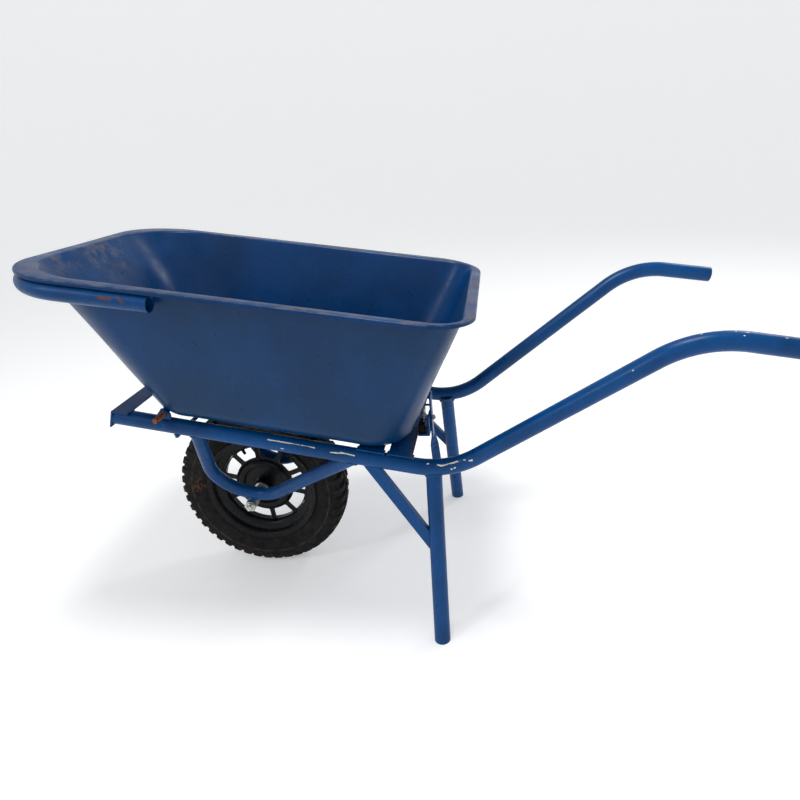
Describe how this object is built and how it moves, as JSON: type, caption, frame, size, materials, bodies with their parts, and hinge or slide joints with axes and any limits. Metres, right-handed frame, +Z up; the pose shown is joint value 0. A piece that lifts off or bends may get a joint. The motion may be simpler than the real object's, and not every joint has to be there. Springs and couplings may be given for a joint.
{
  "type": "wheelbarrow",
  "caption": "Builder's wheelbarrow: pipe frame with bent handles, deep sheet-steel tray that tips forward, bumper tube and a pneumatic wheel.",
  "frame": {"origin": "on the ground at the centre of the bounding box's base", "axes": "+X back to the handles and the operator, +Y to the operator's right, +Z up"},
  "size_m": [1.4102, 0.609, 0.8147],
  "materials": {
    "frame_enamel": "glossy blue enamel, chipped and scratched",
    "tray_enamel": "glossy blue enamel, dusty, scratched",
    "zinc_steel": "bright zinc plate",
    "rusty_steel": "bare steel with light rust",
    "black_enamel": "satin black enamel",
    "tyre_rubber": "matt black rubber",
    "plain_rubber": "matt black rubber"
  },
  "bodies": {
    "frame": {"side_rail_left": "frame_enamel", "side_rail_right": "frame_enamel", "handle_end_left": "frame_enamel", "handle_end_right": "frame_enamel", "front_cross_angle": "frame_enamel", "mid_cross_bar": "frame_enamel", "tray_support_bar": "frame_enamel", "rear_cross_plate": "frame_enamel", "fork_left": "frame_enamel", "fork_right": "frame_enamel", "leg_left": "frame_enamel", "leg_right": "frame_enamel", "leg_brace_left": "frame_enamel", "leg_brace_right": "frame_enamel", "axle": "zinc_steel", "axle_lock_nut_left": "zinc_steel", "axle_lock_nut_right": "zinc_steel", "axle_washer_left": "zinc_steel", "axle_washer_right": "zinc_steel", "axle_nut_left": "zinc_steel", "axle_nut_right": "zinc_steel", "axle_sleeve_left": "frame_enamel", "axle_sleeve_right": "frame_enamel", "pivot_lug_left": "frame_enamel", "pivot_lug_right": "frame_enamel", "pivot_pin_left": "rusty_steel", "pivot_pin_right": "rusty_steel", "latch_bracket": "frame_enamel", "latch_pad": "plain_rubber", "latch_bolt": "zinc_steel", "latch_nut": "zinc_steel", "latch_spring": "zinc_steel"},
    "wheel": {"tyre": "tyre_rubber", "inner_tube": "plain_rubber", "wheel_rim": "black_enamel", "wheel_disc": "black_enamel", "wheel_hub": "black_enamel", "bearing_left": "zinc_steel", "bearing_right": "zinc_steel", "bearing_spacer": "zinc_steel", "valve_stem": "plain_rubber"},
    "tray": {"tray_shell": "tray_enamel", "bumper_tube": "frame_enamel", "tray_hinge_ear_left": "frame_enamel", "tray_hinge_ear_right": "frame_enamel", "tray_catch_pin": "tray_enamel"},
    "latch": {"latch_lever": "frame_enamel"}
  },
  "joints": [
    {"name": "wheel_spin", "type": "hinge", "parent": "frame", "child": "wheel", "pos_m": [-0.37748, 0, 0.2085], "axis": [0, 1, 0], "continuous": true},
    {"name": "tray_tilt", "type": "hinge", "parent": "frame", "child": "tray", "pos_m": [-0.48048, 0, 0.4875], "axis": [0, -1, 0], "range_deg": [0, 34]},
    {"name": "latch_turn", "type": "hinge", "parent": "frame", "child": "latch", "pos_m": [0.05572, -0.06, 0.406], "axis": [1, 0, 0], "range_deg": [-16, 10], "stiffness_Nm_per_rad": 0.4, "deforming": ["latch_spring"]}
  ]
}
